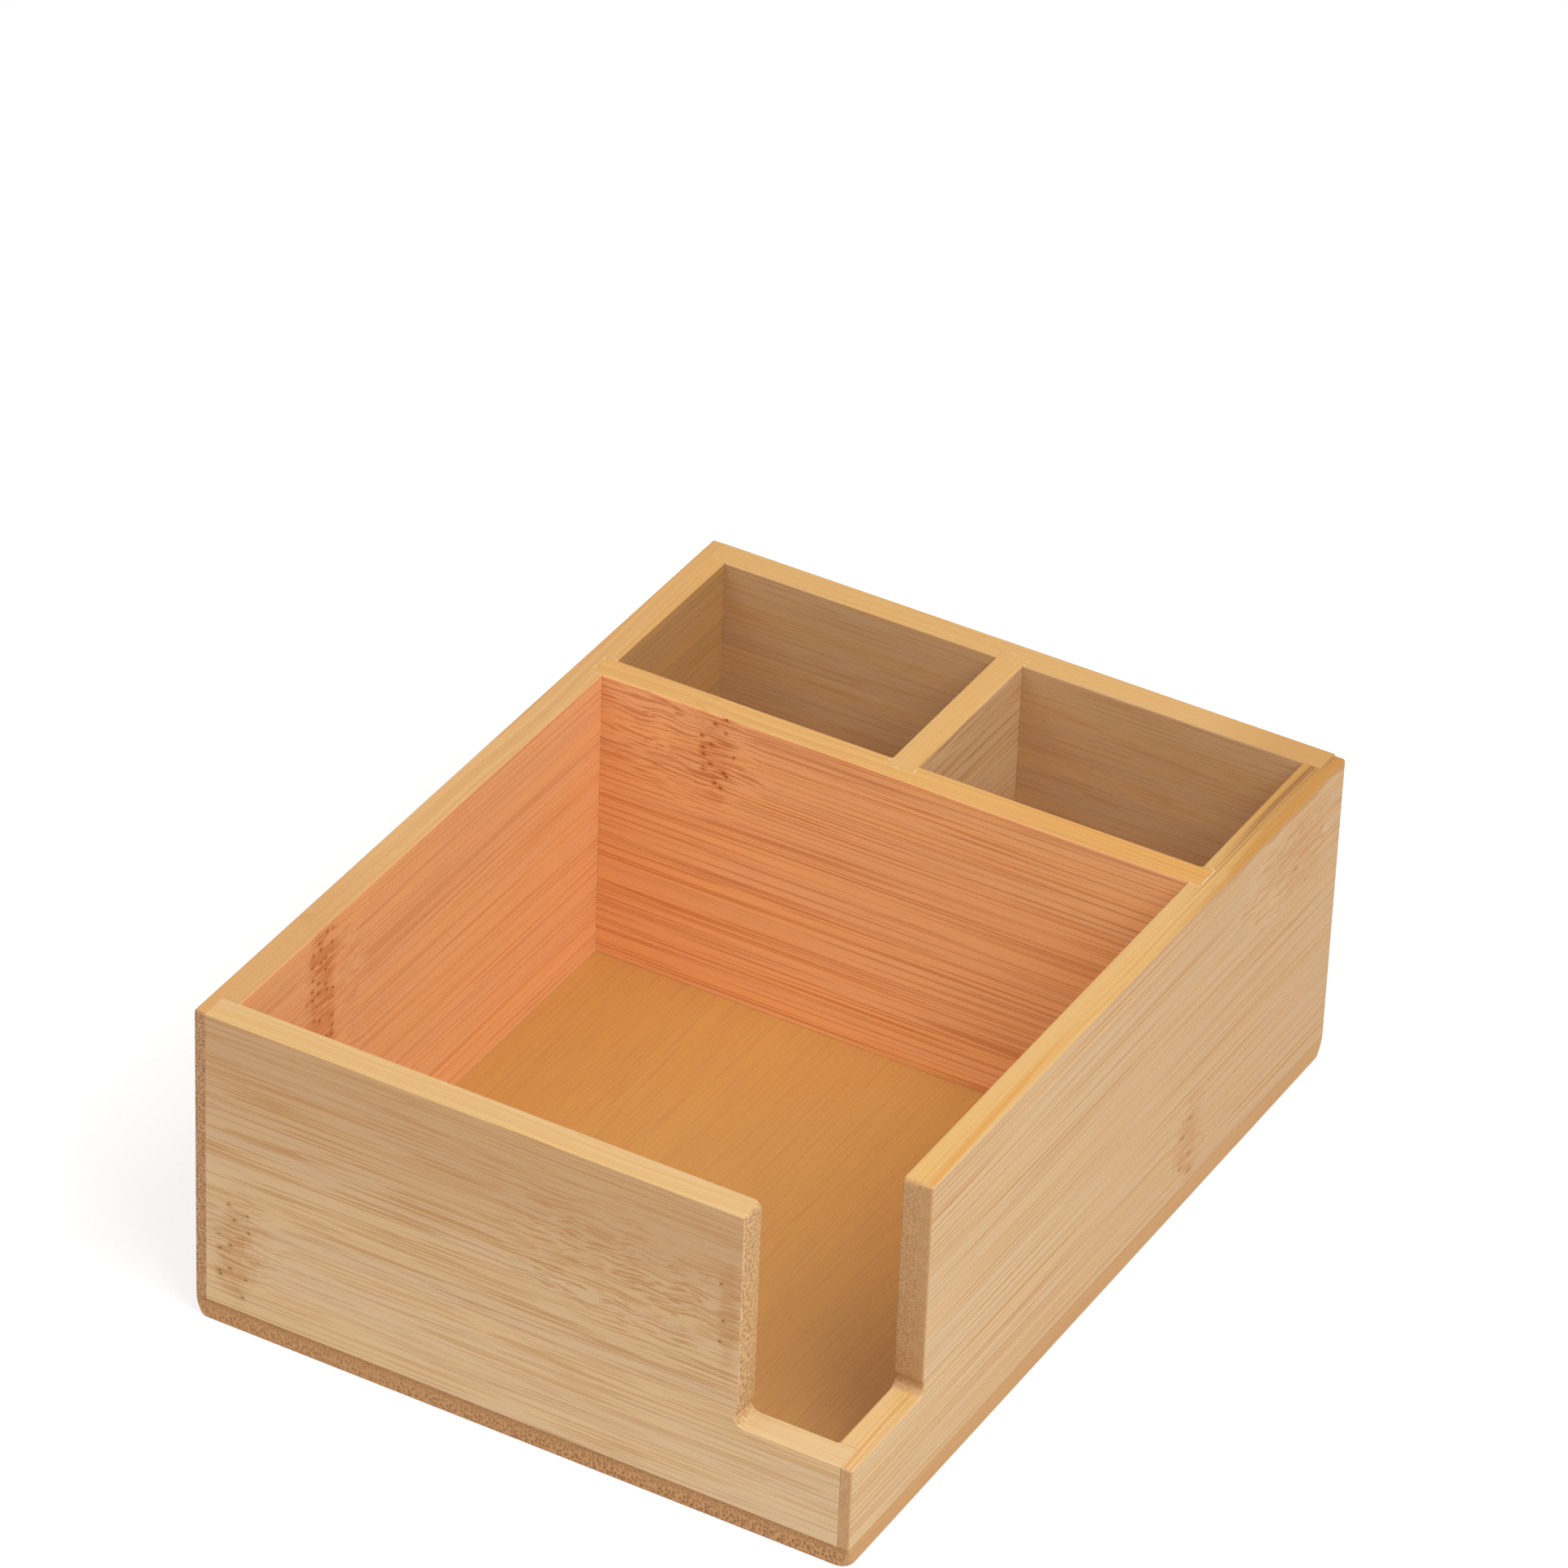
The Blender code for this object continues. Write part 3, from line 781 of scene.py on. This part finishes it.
def bamboo(name, groups, grain, faces, look, knots=(), bends=(), fillers=(), rules=()):
    """A material of one board.

    grain is the axis of its fibres. faces are the axis of its thickness and the places of its pith face
    and its skin face on that axis. look holds values of the bamboo group. knots are values of culm_node
    groups and bends are (middle, reach), in the board's own place. fillers are (low, high) corners of the
    plan. Each rule changes a value, given the wiring, the board's place, the normal and the values.
    """
    material = bpy.data.materials.new(name)
    material.use_nodes = True
    tree = material.node_tree
    w = Wiring(tree)
    place = board_place(w, grain, faces)
    normal = w.parts(w.node("TexCoord").outputs["Normal"])
    sides = [w.math("ABSOLUTE", part) for part in normal]
    largest = w.math("MAXIMUM", w.math("MAXIMUM", sides[X], sides[Y]), sides[Z])
    _, pith, skin = faces
    values = dict(look)
    values["Place"] = place
    values["Skin"] = w.math("DIVIDE", w.parts(place)[THROUGH], abs(skin - pith) / MM)
    values["Ends"] = w.fade(sides[grain], 0.25, 0.6)
    values["Rims"] = w.fade(sides[Z], 0.6, 0.8)
    values["Edges"] = w.fade(largest, 0.98, 0.8)

    def widest(label, mask):
        values[label] = w.math("MAXIMUM", values[label], mask) if label in values else mask

    for knot_values in knots:
        knot = w.group(groups["knot"], {"Place": place, **knot_values})
        for label in ("Band", "Pits", "Halo"):
            widest(label, knot[label])
    for middle, reach in bends:
        away = w.vectors("DIVIDE", w.vectors("SUBTRACT", place, middle), reach)
        widest("Bend", w.fade(w.length(away), 1.0, 0.4))
    for low, high in fillers:
        low, high = [(corner[X] / MM, corner[Y] / MM, 0.0) for corner in (low, high)]
        widest("Filler", w.group(groups["filler"], {"Low": low, "High": high})["Line"])
    for rule in rules:
        rule(w, place, normal, values)
    wood = w.group(groups["bamboo"], values)
    relief = {"Strength": BUMP_STRENGTH, "Distance": BUMP_DISTANCE, "Height": wood["Height"]}
    bump = w.node("Bump", relief)
    shader = tree.nodes["Principled BSDF"]
    w.put(shader.inputs["Base Color"], wood["Color"])
    w.put(shader.inputs["Roughness"], wood["Roughness"])
    w.put(shader.inputs["Normal"], bump.outputs[0])
    return material


def change(label, part, start, end, low, high):
    """A rule by which a value goes from low to high along one part of the board's place.

    A low colour of None is the colour that the earlier rules gave.
    """

    def rule(w, place, normal, values):
        at = w.parts(place)[part]
        if isinstance(high, tuple):
            values[label] = w.mix(w.fade(at, start, end), values[label] if low is None else low, high)
        else:
            values[label] = w.fade(at, start, end, low, high)

    return rule


def knot_at(middle, reach, spacing, share, more=None):
    """The values of a node of the culm that goes right through a board, from its place on the face."""
    values = {"Middle": (*middle, 0.0), "Reach": (*reach, THROUGH_ALL)}
    return {**values, "Pit Spacing": spacing, "Pit Share": share, **(more or {})}


def bend_at(middle, reach):
    """Where the grain waves, right through a board, from its place on the face."""
    return (*middle, 0.0), (*reach, THROUGH_ALL)


# The boards' own bamboo

FRONT_LOOK = {
    "Seed": 3.0,
    "Pale": colour("DFBE91"),
    "Tan": colour("C69B6E"),
    "Streak Colour": colour("BB864C"),
    "Rim Colour": colour("D6B077"),
    "Rim Line Colour": colour("C9934F"),
    "End Colour": colour("D8AE7E"),
    "Dot Colour": colour("A0743E"),
    "Dot Spacing": 0.85,
    "Dots": 0.85,
    "Rim Streaks": 0.5,
    "Ply Start": -0.2,
}
BACK_LOOK = {
    **FRONT_LOOK,
    "Seed": 17.0,
    "Tone": 0.1,
    "Streaks": 0.5,
    "Rim Colour": colour("D0A15E"),
}
LEFT_LOOK = {
    **FRONT_LOOK,
    "Seed": 29.0,
    "Rim Colour": colour("D3A160"),
    "Rim Line Colour": colour("BF8443"),
    "End Colour": colour("C08C5C"),
    "Dot Colour": colour("744826"),
    "Pit Colour": colour("8E5228"),
    "Dot Spacing": 0.9,
    "Streaks": 0.42,
    "Streak Length": 60.0,
}
RIGHT_LOOK = {
    **FRONT_LOOK,
    "Seed": 41.0,
    "Pale": colour("D9B98A"),
    "Tan": colour("C8A06F"),
    "Streak Colour": colour("BF884C"),
    "End Colour": colour("C19160"),
    "Dot Colour": colour("8A5B2C"),
    "Pit Colour": colour("8A5426"),
    "Worn Colour": colour("BA8130"),
    "Dot Spacing": 0.65,
    "Dots": 0.42,
    "Streaks": 0.88,
    "Streak Length": 90.0,
    "Dash Width": 0.5,
    "Rim Streaks": 0.9,
    "Ply Start": 0.25,
}
CROSS_LOOK = {
    **FRONT_LOOK,
    "Seed": 53.0,
    # Pale and Tan are a brighter orange than the bamboo's own: painted light, a warm bounced glow that
    # also lifts the wells' shade.
    "Pale": colour("FCC089"),
    "Tan": colour("F3B177"),
    "Streak Colour": colour("C8743F"),
    "Pit Colour": colour("844A26"),
    "Streaks": 0.6,
    "Streak Length": 60.0,
    "Rim Colour": colour("D19F53"),
    "Rim Line Colour": colour("BC7F38"),
}
SHORT_LOOK = {**FRONT_LOOK, "Seed": 67.0, "Rim Colour": colour("D4A055")}
BASE_LOOK = {
    **FRONT_LOOK,
    "Seed": 71.0,
    "Pale": colour("CD9C55"),
    "Tan": colour("BC8544"),
    "Strip Start": 2.0,
    "Strip Contrast": 0.08,
    "Hue Contrast": 0.2,
    "End Colour": colour("C4905D"),
    "Dot Colour": colour("8F6034"),
    "Dot Spacing": 0.82,
    "Streaks": 0.7,
}


def front_bamboo(groups):
    """Its face grows darker and more streaked from the foot to the rim. The darkening is partly the
    bamboo's own tone and partly painted shading that leaves the foot lighter.
    """
    left_knot = knot_at((-65.5, 19.0), (6.0, 15.0), 2.4, 0.45)
    right_knot = knot_at((46.8, 50.0), (2.8, 18.0), 4.6, 1.0, {"Pit Scatter": 0.35})
    bends = [bend_at((22.0, 51.0), (36.0, 21.0)), bend_at((-62.0, 22.0), (12.0, 16.0))]
    rules = [
        # Tone from foot to rim: partly the bamboo's own brown top, partly painted shading, lighter
        # towards the foot.
        change("Tone", ACROSS, FOOT / MM, RIM / MM, -0.25, 0.46),
        change("Streaks", ACROSS, 12.0, 45.0, 0.5, 0.84),
        change("Rim Colour", ACROSS, SILL / MM, RIM / MM, colour("D8B989"), FRONT_LOOK["Rim Colour"]),
    ]
    faces = (Y, FRONT_LOW.y, FRONT_HIGH.y)
    knots = [left_knot, right_knot]
    return bamboo("front_bamboo", groups, X, faces, FRONT_LOOK, knots, bends, rules=rules)


def back_bamboo(groups):
    rules = [change("Rim Colour", ALONG, 40.0, 65.0, BACK_LOOK["Rim Colour"], colour("BF8A42"))]
    faces = (Y, BACK_LOW.y, BACK_HIGH.y)
    return bamboo("back_bamboo", groups, X, faces, BACK_LOOK, fillers=[SHORT_PLAN], rules=rules)


def inner_painted_light(w, place, normal, values):
    """Painted light on the left wall's inner face: an orange bounced glow in the front well and
    olive-brown painted shade behind it.

    Its node of the culm shows on that face and is faint outside.
    """
    inner = w.fade(normal[X], 0.5, 0.8)
    for label in ("Band", "Pits", "Halo"):
        values[label] = w.math("MULTIPLY", values[label], w.fade(inner, 0.0, 1.0, 0.45, 1.0))
    behind = w.fade(w.parts(place)[ALONG], CROSS_LOW.y / MM, CROSS_HIGH.y / MM)
    # Painted light: an orange glow bounced into the front well, before the cross divider, and olive-brown
    # painted shade behind it.
    bounced_glow_and_shade = {
        "Pale": ("F3BA84", "C79C66"),
        "Tan": ("E9A671", "B78650"),
        "Streak Colour": ("C97740", "9C7040"),
    }
    for label, (front, back) in bounced_glow_and_shade.items():
        tint = w.mix(behind, colour(front), colour(back))
        values[label] = w.mix(inner, values[label], tint)


def left_bamboo(groups):
    knots = [knot_at((-64.0, 52.0), (6.5, 40.0), 1.7, 0.4, {"Strength": 0.75})]
    bends = [bend_at((-60.0, 55.0), (16.0, 40.0))]
    rules = [
        inner_painted_light,
        change("Rim Colour", ALONG, -65.0, -20.0, colour("C99557"), LEFT_LOOK["Rim Colour"]),
        change("Rim Colour", ALONG, 20.0, 60.0, None, colour("D19D58")),
    ]
    faces = (X, LEFT_HIGH.x, LEFT_LOW.x)
    return bamboo("left_bamboo", groups, Y, faces, LEFT_LOOK, knots, bends, [CROSS_PLAN], rules)


def worn_edge(w, place, normal, values):
    """The right wall's outer top edge is worn and golden brown towards the back.

    The mask follows the distance from that edge, shaken by a noise.
    """
    along, across, through = w.parts(place)
    below = w.math("SUBTRACT", RIM / MM, across)
    inside = w.math("SUBTRACT", (RIGHT_HIGH.x - RIGHT_LOW.x) / MM, through)
    away = w.math("MAXIMUM", below, inside)
    away = w.math("ADD", away, w.sway(place, (0.12, 0.5, 0.5), WORN_SHAKE, detail=2.0))
    worn = w.fade(away, WORN_REACH, WORN_CORE, 0.0, 0.9)
    values["Worn"] = w.math("MULTIPLY", worn, w.fade(along, 20.0, 65.0))


def right_bamboo(groups):
    """It grows darker towards the back, its rim most of all. The rim's darkening at the back is partly
    its own brown and partly a painted shadow.
    """
    upper_knot = knot_at((82.0, 63.0), (12.0, 13.0), 2.2, 0.12, {"Pit Length": 2.5})
    smudges = {"Pit Scatter": 0.8, "Pit Length": 3.0, "Pit Radius": 0.45}
    lower_knot = knot_at((39.0, 16.5), (7.0, 13.0), 3.0, 0.8, smudges)
    bends = [bend_at((74.0, 62.0), (28.0, 14.0)), bend_at((38.0, 17.0), (11.0, 14.0))]
    front, back = RIGHT_LOW.y / MM, RIGHT_HIGH.y / MM
    rules = [
        change("Tone", ALONG, front, back, 0.0, 0.45),
        change("Rim Colour", ACROSS, SILL / MM, RIM / MM, colour("D9B37C"), colour("D3A764")),
        # Partly painted shadow: the rim darkens towards the back corner, beyond its own brown lines.
        change("Rim Colour", ALONG, 30.0, back - 15.0, None, colour("BB832C")),
        change("Rim Line Colour", ALONG, 0.0, back - 10.0, colour("CD9040"), colour("8A5826")),
        change("Ply Start", ALONG, 30.0, back - 20.0, 0.3, -0.05),
        worn_edge,
    ]
    faces = (X, RIGHT_LOW.x, RIGHT_HIGH.x)
    knots = [upper_knot, lower_knot]
    return bamboo("right_bamboo", groups, Y, faces, RIGHT_LOOK, knots, bends, [CROSS_PLAN], rules)


def cross_bamboo(groups):
    knots = [knot_at((-41.0, 66.0), (5.0, 16.0), 2.0, 0.5, {"Strength": 0.55})]
    bends = [bend_at((-48.0, 64.0), (26.0, 18.0))]
    rules = [change("Rim Colour", ALONG, 0.0, 40.0, CROSS_LOOK["Rim Colour"], colour("CC9543"))]
    faces = (Y, CROSS_LOW.y, CROSS_HIGH.y)
    return bamboo("cross_bamboo", groups, X, faces, CROSS_LOOK, knots, bends, [SHORT_PLAN], rules)


def short_bamboo(groups):
    return bamboo("short_bamboo", groups, Y, (X, SHORT_LOW.x, SHORT_HIGH.x), SHORT_LOOK)


def no_rims(w, place, normal, values):
    """The base board's top is a face like any other."""
    values["Rims"] = 0.0


def base_bamboo(groups):
    """Its cut end is darker just under the joint with the front wall, a painted shade."""
    top = (BASE_HIGH.z - BASE_LOW.z) / MM
    rules = [
        no_rims,
        change("Dots", ACROSS, -30.0, 25.0, 0.8, 1.0),
        # Painted shade: the cut end darkens in its top 1.5 mm, under the joint with the front wall.
        change("End Colour", THROUGH, top - 1.5, top, BASE_LOOK["End Colour"], colour("A97746")),
    ]
    faces = (Z, BASE_LOW.z, BASE_HIGH.z)
    return bamboo("base_bamboo", groups, Y, faces, BASE_LOOK, rules=rules)


def dress(piece, slot, material):
    """Shades a board, gives it its bamboo and sets it in the place of its CAD board."""
    mesh = piece.data
    mesh.materials.clear()
    mesh.materials.append(material)
    mesh.shade_smooth()
    mesh.set_sharp_from_angle(angle=SMOOTH_ANGLE)
    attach(piece, "root")
    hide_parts(slot)


def make_box():
    groups = {"knot": make_knot_group(), "filler": make_filler_group()}
    groups["bamboo"] = make_bamboo_group(make_streak_group(), make_dot_group())
    dress(make_front(), "front_wall", front_bamboo(groups))
    dress(make_back(), "back_wall", back_bamboo(groups))
    dress(make_left(), "left_wall", left_bamboo(groups))
    dress(make_right(), "right_wall", right_bamboo(groups))
    dress(make_cross(), "cross_divider", cross_bamboo(groups))
    dress(make_short(), "short_divider", short_bamboo(groups))
    dress(make_base(), "base_board", base_bamboo(groups))


# Surroundings

# The photograph's camera, solved from the box's edges: angles in degrees, lens and sensor in millimetres
CAMERA_AZIMUTH = 28.804
CAMERA_ELEVATION = 34.619
CAMERA_ROLL = 2.2536
CAMERA_PLACE = (0.70185, -1.27787, 1.10483)
CAMERA_LENS = 205.24
CAMERA_SENSOR = 36.0

FLOOR_HALF = 6.0
FLOOR_GAP = 0.02 * MM


def outlook(azimuth, elevation_angle):
    """Unit vectors (right, up, back) of something that looks at the box from a direction in degrees."""
    a, e = math.radians(azimuth), math.radians(elevation_angle)
    back = Vector((math.sin(a) * math.cos(e), -math.cos(a) * math.cos(e), math.sin(e)))
    right = Vector((math.cos(a), math.sin(a), 0.0))
    return right, back.cross(right), back


def facing(place, right, up, back):
    """The matrix that sets something at a place, with its X, Y and Z axes along right, up and back."""
    return Matrix.Translation(place) @ Matrix((right, up, back)).transposed().to_4x4()


def set_camera():
    """The camera at the photograph's place. Its roll turns the right vector towards the up vector."""
    right, up, back = outlook(CAMERA_AZIMUTH, CAMERA_ELEVATION)
    roll = math.radians(CAMERA_ROLL)
    tilted_right = math.cos(roll) * right + math.sin(roll) * up
    tilted_up = math.cos(roll) * up - math.sin(roll) * right
    camera = bpy.data.objects.new("camera", bpy.data.cameras.new("camera"))
    bpy.context.scene.collection.objects.link(camera)
    camera.matrix_world = facing(CAMERA_PLACE, tilted_right, tilted_up, back)
    camera.data.sensor_width = CAMERA_SENSOR
    camera.data.lens = CAMERA_LENS
    bpy.context.scene.camera = camera


def add_softbox(name, azimuth, elevation_angle, distance, size, power):
    """A square soft lamp that looks at the box from a direction in degrees."""
    right, up, back = outlook(azimuth, elevation_angle)
    lamp = bpy.data.lights.new(name, "AREA")
    lamp.shape = "SQUARE"
    lamp.size = size
    lamp.energy = power
    softbox = bpy.data.objects.new(name, lamp)
    bpy.context.scene.collection.objects.link(softbox)
    softbox.matrix_world = facing(back * distance, right, up, back)


def seen_directly(w):
    """1 for what the camera sees itself or in a gloss, 0 for what lights the box."""
    path = w.node("LightPath").outputs
    mirrored = w.math("MAXIMUM", path["Is Glossy Ray"], path["Is Transmission Ray"])
    return w.math("MAXIMUM", path["Is Camera Ray"], mirrored)


def set_world(strength):
    """An even pale light all round, which the camera sees as white."""
    world = bpy.data.worlds.new("studio")
    bpy.context.scene.world = world
    world.use_nodes = True
    w = Wiring(world.node_tree)
    background = world.node_tree.nodes["Background"]
    background.inputs["Color"].default_value = (1.0, 1.0, 1.0, 1.0)
    w.put(background.inputs["Strength"], w.blend(seen_directly(w), strength, 1.0))


def make_floor():
    """A wide pale floor. The camera sees it brightened to white, with the box's soft shadow on it."""
    half = FLOOR_HALF
    mesh = bpy.data.meshes.new("floor")
    corners = [(-half, -half, 0), (half, -half, 0), (half, half, 0), (-half, half, 0)]
    mesh.from_pydata(corners, [], [(0, 1, 2, 3)])
    floor = bpy.data.objects.new("floor", mesh)
    floor.location.z = -FLOOR_GAP
    bpy.context.scene.collection.objects.link(floor)
    material = bpy.data.materials.new("floor_paint")
    material.use_nodes = True
    tree = material.node_tree
    w = Wiring(tree)
    tree.nodes.remove(tree.nodes["Principled BSDF"])
    paint = w.node("BsdfDiffuse", {"Color": (0.8, 0.8, 0.8, 1.0)})
    thin = w.node("BsdfDiffuse", {"Color": (0.35, 0.35, 0.35, 1.0)})
    glow = w.node("Emission", {"Color": (1.0, 1.0, 1.0, 1.0), "Strength": 0.7})
    bright = w.node("AddShader", {0: thin.outputs[0], 1: glow.outputs[0]})
    shown = w.node("MixShader", {0: seen_directly(w), 1: paint.outputs[0], 2: bright.outputs[0]})
    w.put(tree.nodes["Material Output"].inputs["Surface"], shown.outputs[0])
    mesh.materials.append(material)


def main():
    make_box()
    make_floor()
    set_world(strength=0.45)
    add_softbox("key_softbox", azimuth=70.0, elevation_angle=55.0, distance=1.4, size=0.9, power=14.5)
    add_softbox("fill_softbox", azimuth=-35.0, elevation_angle=50.0, distance=1.6, size=1.2, power=6.0)
    set_camera()
    bpy.context.scene.view_settings.view_transform = "Standard"


main()
